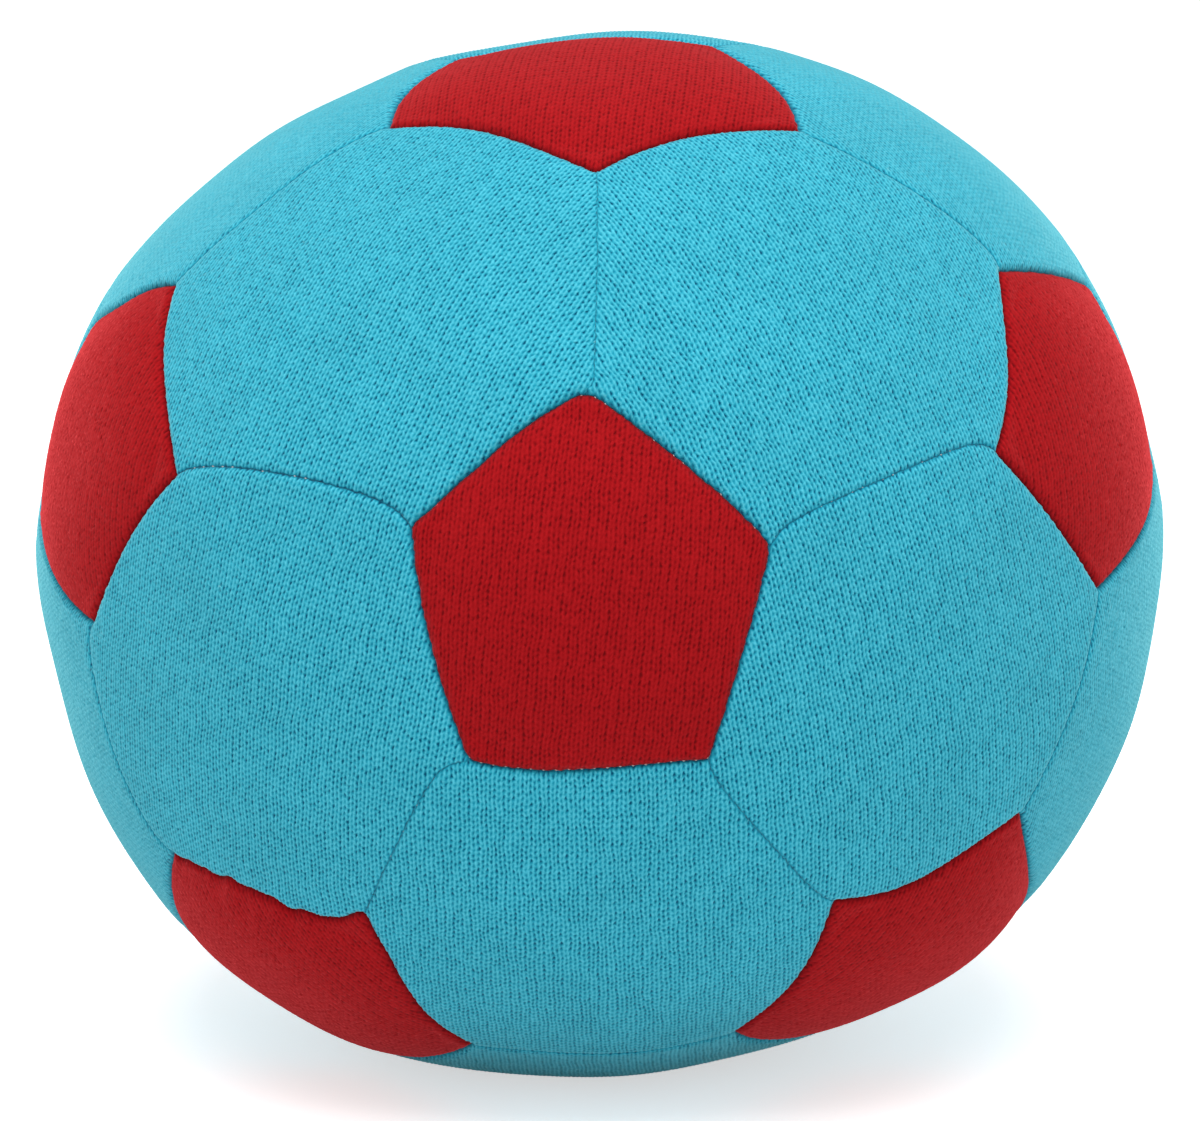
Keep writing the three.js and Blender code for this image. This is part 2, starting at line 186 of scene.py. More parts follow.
# The sewing thread, which shows as dots in a few seams and lies hidden in the others. The values are the
# share of a seam's stitches that show, and where along the seam they start and end.
THREAD_RADIUS = 0.11 * MM
THREAD_SIDES = 6
STITCH_PITCH = 2.0 * MM
STITCH_STEPS = 10
STITCH_SWING = 0.1 * MM
STITCH_DEPTH = 0.4 * MM
STITCH_LIFT = 0.54 * MM
LIFT_SPREAD = (0.85, 1.05)
HIDDEN_LIFT = 0.1 * MM
STITCH_SHARPNESS = 3
SHOWN_SEAMS = {
    ("front", "lower_left", "lower_right"): (0.95, 0.0, 1.0),
    ("front", "upper_left"): (0.8, 0.4, 0.95),
    ("front", "upper_right"): (0.6, 0.15, 0.8),
    ("front", "lower_left"): (0.3, 0.1, 0.9),
    ("front", "upper_right", "top"): (0.12, 0.0, 1.0),
}

# The filling under the panels
FILL_DEPTH = 2.6 * MM
FILL_GROOVE = 4.4 * MM
FILL_GROOVE_REACH = 2.5 * MM
FILL_LUMPS = 0.5 * MM
FILL_LUMP_RATE = 6
FILL_SUBDIVISIONS = 6

# The looks of the two knits: the colours of the painted shade in the holes, of the yarn, of the painted
# highlight on the yarn that stands out and of the fuzz, in the usual 0 to 255 steps, and how strong the
# fuzz's sheen is
KNIT_LOOKS = {
    "red_knit": {
        "hole": (104, 2, 8),
        "yarn": (150, 9, 16),
        "lit_yarn": (174, 19, 25),
        "fuzz": (255, 89, 93),
        "sheen": 0.9,
    },
    "turquoise_knit": {
        "hole": (0, 74, 108),
        "yarn": (30, 156, 182),
        "lit_yarn": (88, 200, 220),
        "fuzz": (137, 210, 217),
        "sheen": 1.0,
    },
}

# The heights of the yarn, as shares of the relief, that have those colours: the painted shade low in the
# holes, the plain yarn, and the painted highlight at the top
HOLE_HEIGHT = 0.25
YARN_HEIGHT = 0.66
LIT_HEIGHT = 1.0

# The fine fibres and the faded patches of both knits, each with the scale of its noise and with its darkest
# and lightest shade, and how rough and how glossy the knits are
FIBRE_SCALE = 2600.0
FIBRE_DETAIL = 3.0
FIBRE_SHADES = (0.88, 1.12)
PATCH_SCALE = 70.0
PATCH_SHADES = (0.92, 1.08)
KNIT_ROUGHNESS = 0.95
KNIT_SPECULAR = 0.1
SHEEN_ROUGHNESS = 0.45

# The looks of the thread and of the filling
THREAD_COLOUR = (200, 190, 186)
THREAD_SCALE = 3000.0
THREAD_SHADES = (0.85, 1.15)
THREAD_ROUGHNESS = 0.7
FILL_COLOUR = (236, 232, 222)
FILL_SCALE = 400.0
FILL_DETAIL = 6.0
FILL_SHADES = (0.85, 1.1)
FILL_ROUGHNESS = 1.0
FILL_SHEEN = 0.2

# The floor, the even light from all round and the soft lamp above
WHITE = (1.0, 1.0, 1.0, 1.0)
FLOOR_COLOUR = (0.9, 0.9, 0.9, 1.0)
FLOOR_SIZE = 80
FLOOR_ROUGHNESS = 0.9
FLOOR_GLOW = 0.6
WORLD_LIGHT = 0.54
WORLD_BACKGROUND = 1.0
LAMP_PLACE = (0.0, -0.5, 1.6)
LAMP_SIZE = 1.4
LAMP_POWER = 25

# The camera
CAMERA_ELEVATION = 10.0
CAMERA_DISTANCE = 817 * MM
IMAGE_WIDTH = 1200
IMAGE_HEIGHT = 1121
FOCAL_PIXELS = 4556.0
CENTRE_PIXEL_X = 599.7
CENTRE_PIXEL_Y = 552.0
SENSOR_WIDTH = 36.0
CLIP_START = 0.01
CLIP_END = 100

# Values worked out from those above
HALF_HEIGHT = BALL_HEIGHT / 2
CENTRE_HEIGHT = HALF_HEIGHT - FOOT_SAG
SEAM_RADIUS = BALL_WIDTH / 2
SEAM_REACH = np.array((SEAM_RADIUS, SEAM_RADIUS, HALF_HEIGHT))

# The ways that the ball faces, and a number small enough to leave out
FRONT = np.array((0.0, -1.0, 0.0))
RIGHT = np.array((1.0, 0.0, 0.0))
UP = np.array((0.0, 0.0, 1.0))
NEGLIGIBLE = 1e-6

RANDOM_SEED = 7
rng = np.random.default_rng(RANDOM_SEED)


def unit(vectors):
    return vectors / np.linalg.norm(vectors, axis=-1, keepdims=True)


def turn(vectors, axis, degrees):
    angle = math.radians(degrees)
    along = (vectors @ axis)[..., None] * axis
    return along + math.cos(angle) * (vectors - along) + math.sin(angle) * np.cross(axis, vectors)


def soft_min(values, blend):
    """The least of the last axis's values, with the change from one to the next rounded off."""
    least = values.min(axis=-1)
    excess = (least[..., None] - values) / np.asarray(blend)[..., None]
    return least - blend * np.log(np.exp(excess).sum(axis=-1))


def waves(places, ways, phases):
    """A slow random swell between about -1 and 1, as a sum of waves."""
    return np.sin(places @ ways.T + phases).sum(axis=-1) / math.sqrt(len(phases))


def skin_points(directions, crown, rise):
    """Points of the sewn skin in directions from the ball's centre, where the panel stands crown out of the
    round form through the seams. They stand rise above that skin."""
    upright = turn(directions, FRONT, -SQUASH_LEAN)
    across = np.hypot(upright[..., 0], upright[..., 1])
    full = (across**FULLNESS + np.abs(upright[..., 2]) ** FULLNESS) ** (-1 / FULLNESS)
    seam = turn(upright * full[..., None] * SEAM_REACH, FRONT, SQUASH_LEAN)
    radius = np.linalg.norm(seam, axis=-1)
    outwards = seam / radius[..., None]
    floor = (CENTRE_HEIGHT + FOOT_TRIM) / np.maximum(-outwards[..., 2], NEGLIGIBLE)
    radius = soft_min(np.stack((radius + crown, floor), axis=-1), FOOT_BLEND)
    points = outwards * (radius + rise)[..., None]
    points[..., 2] = np.maximum(points[..., 2] + CENTRE_HEIGHT, 0)
    return points


# The directions of the twelve pentagons
RING = ("top", "upper_right", "lower_right", "lower_left", "upper_left")
OPPOSITE = {
    "front": "back",
    "top": "bottom",
    "upper_right": "rear_lower_left",
    "lower_right": "rear_upper_left",
    "lower_left": "rear_upper_right",
    "upper_left": "rear_lower_right",
}
OPPOSITE.update({back: front for front, back in OPPOSITE.items()})
NEIGHBOUR_COSINE = 1 / math.sqrt(5)
PENTAGON_SIDES = 5
PENTAGON_ANGLE = 108


def pentagon_directions():
    tilt = math.acos(NEIGHBOUR_COSINE)
    even = {"front": FRONT}
    for index, name in enumerate(RING):
        clock = 2 * math.pi * index / len(RING)
        ringwards = math.sin(clock) * RIGHT + math.cos(clock) * UP
        even[name] = math.cos(tilt) * FRONT + math.sin(tilt) * ringwards
    directions = {}
    for name, direction in even.items():
        rolled = turn(direction, FRONT, FRONT_ROLL)
        pitched = turn(rolled, RIGHT, -FRONT_PITCH)
        directions[name] = turn(pitched, UP, -FRONT_YAW)
        directions[OPPOSITE[name]] = -directions[name]
    return directions


PENTAGONS = pentagon_directions()


def neighbours(name):
    """The five pentagons round one pentagon, counter-clockwise as seen from outside."""
    axis = PENTAGONS[name]
    near = [
        other
        for other, direction in PENTAGONS.items()
        if other != name and axis @ direction > NEIGHBOUR_COSINE / 2
    ]
    start = PENTAGONS[near[0]] - (axis @ PENTAGONS[near[0]]) * axis
    side = np.cross(axis, start)
    return sorted(near, key=lambda other: math.atan2(PENTAGONS[other] @ side, PENTAGONS[other] @ start))


def round_directions(points):
    """The directions of points of the skin from the ball's centre, before the ball was squashed."""
    upright = turn(points - CENTRE_HEIGHT * UP, FRONT, -SQUASH_LEAN)
    return turn(unit(upright / SEAM_REACH), FRONT, SQUASH_LEAN)


def sewn_corners():
    """The directions of the seam corners, from the corners of the pentagons' solids in the frame, which lie
    half a gap inside their seams. Each is named by its pentagon and by the pentagon that it points to."""
    inset = SOLID_GAP / 2 / math.sin(math.radians(PENTAGON_ANGLE) / 2) / SEAM_RADIUS
    corners = {}
    for name, middle in PENTAGONS.items():
        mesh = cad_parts[f"pentagon_{name}"].data
        places = np.zeros(len(mesh.vertices) * 3)
        mesh.vertices.foreach_get("co", places)
        directions = round_directions(places.reshape(-1, 3))
        for other in neighbours(name):
            way = PENTAGONS[other] - (PENTAGONS[other] @ middle) * middle
            farthest = directions[(directions @ way).argmax()]
            outwards = unit(farthest - (farthest @ middle) * middle)
            corners[name, other] = unit(farthest + inset * outwards)
    return corners


CORNERS = sewn_corners()


def edge_ends(pentagon, first, second):
    """The two corners of a pentagon's edge."""
    return (pentagon, first), (pentagon, second)


def spoke_ends(first, second):
    """The two corners of a seam between two hexagons."""
    return (first, second), (second, first)


class Seam:
    """A sewn line between two corners, and how far it runs to the right of the straight line."""

    def __init__(self, ends):
        self.start = CORNERS[ends[0]]
        self.run = CORNERS[ends[1]] - self.start

    def share(self, directions):
        return np.clip((directions - self.start) @ self.run / (self.run @ self.run), 0, 1)


class Edge(Seam):
    """A seam at a pentagon's edge."""

    def __init__(self, ends, bow, sway, puckers):
        super().__init__(ends)
        self.bow, self.sway, self.puckers = bow * MM, sway * MM, puckers

    def bend(self, directions):
        way = math.pi * self.share(directions)
        bend = self.bow * np.sin(way) + self.sway * np.sin(2 * way)
        for height, count in self.puckers:
            bend += height * np.sin(2 * count * way)
        return bend


class Spoke(Seam):
    """A seam between two hexagons."""

    def __init__(self, ends, first, second, bow, turn_length):
        super().__init__(ends)
        self.first, self.second, self.bow = first * MM, second * MM, bow * MM
        self.turn_length = turn_length

    def bend(self, directions):
        share = self.share(directions)
        aim = self.first * (1 - share) + self.second * share + self.bow * np.sin(math.pi * share)
        length = SEAM_RADIUS * np.linalg.norm(self.run)
        far = share * length / self.turn_length
        rest = (1 - share) * length / self.turn_length
        return aim * np.clip(1 - np.exp(-far) - np.exp(-rest), 0, 1)


def bent_seams():
    seams = {}
    for names, bends in EDGE_BENDS.items():
        ends = edge_ends(*names)
        seams[ends] = Edge(ends, *bends, CLOSING_PUCKERS if names == CLOSING_SEAM else ())
    for names, bends in SPOKE_BENDS.items():
        ends = spoke_ends(*names)
        seams[ends] = Spoke(ends, *bends, SHARP_TURN if names in SHARP_SPOKES else SPOKE_TURN)
    return seams


BENT_SEAMS = bent_seams()


class Panel:
    """One knitted panel: its middle, its seam corners and the way its wales run."""

    def __init__(self, name, middle, corners, wales, finish, crown):
        self.name = name
        self.middle = middle
        self.corner_names = corners
        self.corners = np.array([CORNERS[names] for names in corners])
        self.inwards = unit(np.cross(self.corners, np.roll(self.corners, -1, axis=0)))
        self.along = unit(wales - (wales @ middle) * middle)
        self.across = np.cross(self.along, middle)
        self.finish = finish
        self.crown = crown
        self.roundings = np.array([CORNER_ROUNDINGS.get(names, PENTAGON_ROUNDING) for names in corners])
        self.ripple_ways = rng.normal(size=(JITTER_COUNT, 3)) * 2 * math.pi * SEAM_RADIUS / JITTER_WAVE
        self.ripple_phases = rng.uniform(0, 2 * math.pi, JITTER_COUNT)

    def edge(self, index):
        return self.corner_names[index], self.corner_names[(index + 1) % len(self.corner_names)]

    def edges(self):
        return [self.edge(index) for index in range(len(self.corner_names))]

    def is_pentagon(self):
        return len(self.corners) == PENTAGON_SIDES

    def reach(self):
        return np.arccos(np.clip(self.corners @ self.middle, -1, 1)).max() * SEAM_RADIUS

    def directions(self, across, along):
        """Directions of points across and along the wales from the panel's middle."""
        far = np.maximum(np.hypot(across, along), NEGLIGIBLE * MM)
        angle = far / SEAM_RADIUS
        sideways = (across / far)[..., None] * self.across + (along / far)[..., None] * self.along
        return np.cos(angle)[..., None] * self.middle + np.sin(angle)[..., None] * sideways

    def edge_depth(self, index, directions):
        """How deep directions lie inside one edge of the panel, which is bent as it was sewn."""
        ends = self.edge(index)
        depth = SEAM_RADIUS * (directions @ self.inwards[index])
        if ends in BENT_SEAMS:
            return depth + BENT_SEAMS[ends].bend(directions)
        if ends[::-1] in BENT_SEAMS:
            return depth - BENT_SEAMS[ends[::-1]].bend(directions)
        return depth

    def edge_depths(self, directions):
        return np.stack([self.edge_depth(index, directions) for index in range(len(self.corners))], axis=-1)

    def ripple(self, directions):
        return SEAM_JITTER * waves(directions, self.ripple_ways, self.ripple_phases)

    def depth(self, directions):
        """How deep directions lie inside the panel's outline, with its corners rounded."""
        corner_gaps = np.linalg.norm(directions[..., None, :] - self.corners, axis=-1) * SEAM_RADIUS
        nearness = np.exp(-((corner_gaps / ROUNDING_REACH) ** 2) / 2) + NEGLIGIBLE
        rounding = (nearness * self.roundings).sum(axis=-1) / nearness.sum(axis=-1)
        return soft_min(self.edge_depths(directions), rounding) + self.ripple(directions)


def pentagon_panel(name):
    middle = PENTAGONS[name]
    corners = [(name, other) for other in neighbours(name)]
    upright = unit(UP - (UP @ middle) * middle)
    wales = turn(upright, middle, -WALE_LEANS.get(name, 0.0))
    return Panel(f"pentagon_{name}", middle, corners, wales, "red_knit", PENTAGON_CROWN)


def hexagon_panel(name, trio):
    first, second, third = trio
    if np.cross(PENTAGONS[first], PENTAGONS[second]) @ PENTAGONS[third] < 0:
        second, third = third, second
    corners = [
        (first, second),
        (second, first),
        (second, third),
        (third, second),
        (third, first),
        (first, third),
    ]
    middle = unit(PENTAGONS[first] + PENTAGONS[second] + PENTAGONS[third])
    upright = unit(UP - (UP @ middle) * middle)
    ways = [unit(PENTAGONS[other] - (PENTAGONS[other] @ middle) * middle) for other in trio]
    wales = max(ways, key=lambda way: abs(way @ upright))
    return Panel(f"hexagon_{name}", middle, corners, wales, "turquoise_knit", -HEXAGON_DRAW)


CLOCK = ("upper_right", "right", "bottom", "left", "upper_left")
OPPOSITE_CLOCK = ("lower_left", "left", "top", "right", "lower_right")


def all_panels():
    panels = [pentagon_panel(name) for name in PENTAGONS]
    for index, clock in enumerate(CLOCK):
        near = RING[index]
        following = RING[(index + 1) % len(RING)]
        far = OPPOSITE[RING[(index + 3) % len(RING)]]
        inner = ("front", near, following)
        outer = (near, following, far)
        other = OPPOSITE_CLOCK[index]
        panels.append(hexagon_panel(f"front_{clock}", inner))
        panels.append(hexagon_panel(f"side_{clock}", outer))
        panels.append(hexagon_panel(f"rear_side_{other}", [OPPOSITE[name] for name in outer]))
        panels.append(hexagon_panel(f"back_{other}", [OPPOSITE[name] for name in inner]))
    return panels


PANELS = all_panels()

# The panel on the left of every seam, by the seam's two corners in order
LEFT_OF = {ends: panel for panel in PANELS for ends in panel.edges()}

SWELL_WAYS = rng.normal(size=(SWELL_COUNT, 3)) * SWELL_RATE
SWELL_PHASES = rng.uniform(0, 2 * math.pi, SWELL_COUNT)


def undulation(directions):
    """How far the slow swells of the skin stand out."""
    return UNDULATION * waves(directions, SWELL_WAYS, SWELL_PHASES)


def crown_height(panel, directions):
    """How far a panel stands out of the round form, which grows from its seams to its middle."""
    middle_depth = soft_min(panel.edge_depths(panel.middle), CROWN_BLEND)
    share = soft_min(panel.edge_depths(directions), CROWN_BLEND) / middle_depth
    return panel.crown * (1 - (1 - np.clip(share, 0, 1)) ** CROWN_POWER)


def neighbour(panel, index):
    """The panel beyond one edge of a panel."""
    return LEFT_OF[panel.edge(index)[::-1]]


def lead(panel, index, directions):
    """How far directions lie on the panel's side of the seam at one of its edges. A pentagon's seam is its
    rounded outline."""
    other = neighbour(panel, index)
    if panel.is_pentagon():
        return panel.depth(directions)
    if other.is_pentagon():
        return -other.depth(directions)
    return panel.edge_depth(index, directions) + (panel.ripple(directions) - other.ripple(directions)) / 2


def seam_distances(panel, directions):
    """The distances of directions from the panel's nearest seam at a pentagon's edge and from its nearest
    seam between two hexagons, which are positive on the panel, and how strongly the latter is drawn in."""
    edge = np.full(len(directions), NEAR_SEAM)
    spoke = np.full(len(directions), NEAR_SEAM)
    strength = np.zeros(len(directions))
    for index in range(len(panel.corners)):
        beside = np.flatnonzero(panel.edge_depth(index, directions) < NEAR_SEAM)
        distance = lead(panel, index, directions[beside])
        if panel.is_pentagon() or neighbour(panel, index).is_pentagon():
            edge[beside] = np.minimum(edge[beside], distance)
        else:
            nearer = distance < spoke[beside]
            spoke[beside[nearer]] = distance[nearer]
            strength[beside[nearer]] = spoke_strength(panel.edge(index))
    return edge, spoke, strength


def spoke_strength(ends):
    (first, second), _ = ends
    return SPOKE_STRENGTHS.get((first, second), SPOKE_STRENGTHS.get((second, first), SPOKE_STRENGTH))


def flat_distance(panel, across, along):
    edge, spoke, _ = seam_distances(panel, panel.directions(across, along))
    return np.minimum(edge, spoke)


def seam_slope(panel, across, along):
    """The way in the panel's plane in which the distance from the seam grows."""
    step = SLOPE_STEP
    slope_across = flat_distance(panel, across + step, along) - flat_distance(panel, across - step, along)
    slope_along = flat_distance(panel, across, along + step) - flat_distance(panel, across, along - step)
    return slope_across / (2 * step), slope_along / (2 * step)


def fold_drop(edge, spoke, strength):
    """How far the rounded folds lie below the panel, at distances from its seams."""
    drops = []
    for distance, (depth, reach), share in ((edge, EDGE_FOLD, 1), (spoke, SPOKE_FOLD, strength)):
        drops.append(share * depth * np.clip(1 - distance / reach, 0, 1) ** FOLD_POWER)
    return np.maximum(*drops)


def seam_shade(edge, spoke, strength):
    """How much painted shade darkens the yarn near the seams, from 0 to 1, at distances from them."""
    by_edge = np.clip(1 - edge / EDGE_SHADE, 0, 1)
    by_spoke = strength * np.clip(1 - spoke / SPOKE_SHADE, 0, 1)
    return np.maximum(by_edge, by_spoke)


def add_mesh(name, points, faces):
    mesh = bpy.data.meshes.new(name)
    mesh.vertices.add(len(points))
    mesh.vertices.foreach_set("co", np.asarray(points, np.float32).ravel())
    sides = faces.shape[1]
    mesh.loops.add(faces.size)
    mesh.loops.foreach_set("vertex_index", np.asarray(faces, np.int32).ravel())
    mesh.polygons.add(len(faces))
    mesh.polygons.foreach_set("loop_start", np.arange(0, faces.size, sides, dtype=np.int32))
    mesh.polygons.foreach_set("use_smooth", np.full(len(faces), True))
    mesh.update(calc_edges=True)
    piece = bpy.data.objects.new(name, mesh)
    bpy.context.scene.collection.objects.link(piece)
    return piece


def knit_grid(panel):
    """Places across and along a panel's wales, and the height of the yarn there as a share of its relief.
    The rows of places follow the two slanted legs of each stitch, and holes lie between the legs. The
    height also sets the knit's colour: painted shade in the holes and a painted highlight on the yarn's
    tops."""
    reach = panel.reach() + GRID_MARGIN
    half = int(reach / WALE * COLUMNS_PER_WALE) + COLUMNS_PER_WALE
    column = np.arange(-half, half + 1)
    lean = np.abs((column % COLUMNS_PER_WALE) * 2 / COLUMNS_PER_WALE - 1)
    rows = int((reach / COURSE + LEG_RISE) * ROWS_PER_COURSE)
    row = np.arange(-rows, rows + 1)
    across = np.repeat(column[:, None] * WALE / COLUMNS_PER_WALE, len(row), axis=1)
    along = (row[None, :] / ROWS_PER_COURSE + LEG_RISE * (lean[:, None] - 0.5)) * COURSE

    course = np.rint(row / ROWS_PER_COURSE).astype(int)
    from_hole = np.abs(row - course * ROWS_PER_COURSE)
    courses = course - course[0]
    count = (len(column), courses[-1] + 1)
    leg_holes = rng.uniform(*LEG_HOLES[panel.finish], size=count)
    wale_holes = rng.uniform(*WALE_HOLES[panel.finish], size=count)
    depths = np.where((lean == 1)[:, None], wale_holes, leg_holes)
    holes = depths[:, courses] * np.array(HOLE_PROFILES[panel.finish])[from_hole]
    strands = rng.uniform(0, STRAND_SPREADS[panel.finish], size=across.shape)
    yarn = 1 - np.where((column % 2 == 0)[:, None], holes, strands)

    across = across + rng.normal(0, UNEVENNESS, across.shape)
    along = along + rng.normal(0, UNEVENNESS, along.shape)
    places = np.stack((across, along), axis=-1)
    ways = rng.normal(size=(2, WANDER_COUNT, 2)) * 2 * math.pi / WANDER_WAVE
    phases = rng.uniform(0, 2 * math.pi, size=(2, WANDER_COUNT))
    across = across + WANDER * waves(places, ways[0], phases[0])
    along = along + WANDER * waves(places, ways[1], phases[1])

    index = np.arange(across.size).reshape(across.shape)
    quads = np.stack((index[:-1, :-1], index[1:, :-1], index[1:, 1:], index[:-1, 1:]), axis=-1)
    return across.ravel(), along.ravel(), yarn.ravel(), quads.reshape(-1, 4)


def outer_edges(quads):
    """The edges that only one quad has, each in the order in which that quad runs along it."""
    edges = np.concatenate([quads[:, (side, (side + 1) % 4)] for side in range(4)])
    ordered = np.sort(edges, axis=1)
    key = ordered[:, 0].astype(np.int64) * (quads.max() + 1) + ordered[:, 1]
    _, first, count = np.unique(key, return_index=True, return_counts=True)
    return edges[first[count == 1]]


def lay_flat(piece, across, along):
    """The texture map of a panel: its knit laid flat."""
    span = 2 * FLAT_MARGIN * max(np.abs(across).max(), np.abs(along).max())
    flat = np.stack((across / span + 0.5, along / span + 0.5), axis=-1).astype(np.float32)
    corners = np.zeros(len(piece.data.loops), np.int32)
    piece.data.loops.foreach_get("vertex_index", corners)
    piece.data.uv_layers.new(name="OFBake").data.foreach_set("uv", flat[corners].ravel())


def panel_piece(panel):
    """A panel's knit up to its seams, with the hem turned in along them."""
    across, along, yarn, quads = knit_grid(panel)
    trim = SEAM_GAP / 2
    distance = flat_distance(panel, across, along)
    quads = quads[(distance[quads] > trim).any(axis=1)]
    used, quads = np.unique(quads, return_inverse=True)
    quads = quads.reshape(-1, 4)
    across, along, yarn = across[used], along[used], yarn[used]

    outside = distance[used] < trim
    for _ in range(TRIM_ROUNDS):
        slope_across, slope_along = seam_slope(panel, across[outside], along[outside])
        lack = flat_distance(panel, across[outside], along[outside]) - trim
        scale = lack / np.maximum(slope_across**2 + slope_along**2, LEAST_SQUARED_SLOPE)
        across[outside] -= scale * slope_across
        along[outside] -= scale * slope_along

    directions = panel.directions(across, along)
    distances = seam_distances(panel, directions)
    fade = np.clip(np.minimum(*distances[:2]) / RELIEF_FADE, 0, 1)
    crown = crown_height(panel, directions)
    level = undulation(directions) - fold_drop(*distances)
    relief = RELIEFS[panel.finish] * fade * (yarn - MEAN_YARN)
    points = skin_points(directions, crown, level + relief)

    rim = outer_edges(quads)
    rim_points, rim_index = np.unique(rim, return_inverse=True)
    rim_index = rim_index.reshape(-1, 2) + len(points)
    slope_across, slope_along = seam_slope(panel, across[rim_points], along[rim_points])
    hem = skin_points(directions[rim_points], crown[rim_points], level[rim_points] - HEM_DEPTH)
    hem_quads = np.stack((rim[:, 1], rim[:, 0], rim_index[:, 0], rim_index[:, 1]), axis=-1)

    all_points = np.concatenate((points, hem))
    all_quads = np.concatenate((quads, hem_quads))
    piece = add_mesh(f"knit_{panel.name}", all_points, all_quads)
    # Painted seam shade: near the seams the yarn takes the dark colour of low yarn, and the hem takes it
    # all over
    shade = seam_shade(*distances)
    painted_seam_yarn = rng.uniform(*PAINTED_SEAM_YARN, len(points))
    stitch = np.concatenate((yarn + shade * (painted_seam_yarn - yarn), np.full(len(hem), np.mean(PAINTED_SEAM_YARN))))
    attribute = piece.data.attributes.new("stitch", "FLOAT", "POINT")
    attribute.data.foreach_set("value", stitch.astype(np.float32))
    flat_across = np.concatenate((across, across[rim_points] - slope_across * HEM_DEPTH))
    flat_along = np.concatenate((along, along[rim_points] - slope_along * HEM_DEPTH))
    lay_flat(piece, flat_across, flat_along)
    return piece


def seam_line(ends, count):
    """Directions along the seam between two corners."""
    left = LEFT_OF[ends]
    start, end = CORNERS[ends[0]], CORNERS[ends[1]]
    share = np.linspace(0, 1, count)[:, None]
    even = unit(start + share * (end - start))
    leftwards = unit(np.cross(start, end))
    shift = np.linspace(-SEARCH_REACH, SEARCH_REACH, SEARCH_PLACES)
    tries = unit(even[:, None] + shift[None, :, None] / SEAM_RADIUS * leftwards)
    side = lead(left, left.edges().index(ends), tries)
    after = np.clip((side > 0).argmax(axis=1), 1, len(shift) - 1)
    row = np.arange(count)
    low, high = side[row, after - 1], side[row, after]
    exact = shift[after - 1] + (shift[1] - shift[0]) * np.clip(-low / (high - low), 0, 1)
    return unit(even + exact[:, None] / SEAM_RADIUS * leftwards)


def shown_stitches(ends, stitches):
    """Which of a seam's stitches show."""
    (pentagon, first), (other, second) = ends
    names = (pentagon, other) if pentagon != other else (pentagon, first, second)
    place = np.linspace(0, 1, stitches)
    if names not in SHOWN_SEAMS:
        names, place = names[::-1], 1 - place
    share, start, end = SHOWN_SEAMS.get(names, (0.0, 0.0, 0.0))
    return (rng.uniform(size=stitches) < share) & (place >= start) & (place <= end)


def stitched_line(ends):
    """The run of a thread along a seam, which rises between the panels at every stitch."""
    length = SEAM_RADIUS * np.linalg.norm(CORNERS[ends[0]] - CORNERS[ends[1]])
    stitches = round(length / STITCH_PITCH)
    count = stitches * STITCH_STEPS + 1
    directions = seam_line(ends, count)
    phase = 2 * math.pi * np.arange(count) / STITCH_STEPS
    shown = shown_stitches(ends, stitches + 1)
    lifts = np.where(shown, STITCH_LIFT * rng.uniform(*LIFT_SPREAD, stitches + 1), HIDDEN_LIFT)
    lift = lifts[(np.arange(count) + STITCH_STEPS // 2) // STITCH_STEPS]
    peak = np.maximum(np.cos(phase), 0) ** STITCH_SHARPNESS
    bottom, _ = EDGE_FOLD if ends[0][0] == ends[1][0] else SPOKE_FOLD
    rise = undulation(directions) - bottom - STITCH_DEPTH + lift * peak
    points = skin_points(directions, np.zeros(count), rise)
    sideways = unit(np.cross(np.gradient(points, axis=0), directions))
    return points + sideways * (STITCH_SWING * np.sin(phase))[:, None], directions


def tube(points, outwards, radius):
    """The points and faces of a round thread along a run of points."""
    tangents = unit(np.gradient(points, axis=0))
    sideways = unit(np.cross(tangents, outwards))
    upwards = np.cross(sideways, tangents)
    angles = 2 * math.pi * np.arange(THREAD_SIDES) / THREAD_SIDES
    cosines = np.cos(angles)[None, :, None]
    sines = np.sin(angles)[None, :, None]
    ring = cosines * sideways[:, None] + sines * upwards[:, None]
    rings = (points[:, None] + radius * ring).reshape(-1, 3)
    index = np.arange(len(rings)).reshape(len(points), THREAD_SIDES)
    after = np.roll(index, -1, axis=1)
    faces = np.stack((index[:-1], index[1:], after[1:], after[:-1]), axis=-1).reshape(-1, 4)
    return rings, faces


def thread_piece(name, seams):
    points, faces, total = [], [], 0
    for ends in seams:
        line, directions = stitched_line(ends)
        rings, quads = tube(line, directions, THREAD_RADIUS)
        points.append(rings)
        faces.append(quads + total)
        total += len(rings)
    return add_mesh(name, np.concatenate(points), np.concatenate(faces))


def filling_piece():
    """The fibre filling, lumpy and grooved along the seams."""
    bpy.ops.mesh.primitive_ico_sphere_add(subdivisions=FILL_SUBDIVISIONS, radius=1)
    piece = bpy.context.object
    piece.name = "filling"
    flat = np.zeros(len(piece.data.vertices) * 3)
    piece.data.vertices.foreach_get("co", flat)
    directions = unit(flat.reshape(-1, 3))
    depths = [soft_min(panel.edge_depths(directions), CROWN_BLEND) for panel in PANELS]
    deepest = np.sort(np.stack(depths, axis=-1), axis=-1)
    distance = (deepest[:, -1] - deepest[:, -2]) / 2
    groove = FILL_GROOVE * np.exp(-((distance / FILL_GROOVE_REACH) ** 2))
    lumps = FILL_LUMPS * waves(directions, FILL_LUMP_RATE * SWELL_WAYS, SWELL_PHASES)
    points = skin_points(directions, np.zeros(len(directions)), lumps - FILL_DEPTH - groove)
    piece.data.vertices.foreach_set("co", points.astype(np.float32).ravel())
    piece.data.polygons.foreach_set("use_smooth", np.full(len(piece.data.polygons), True))
    piece.data.update()
    return piece


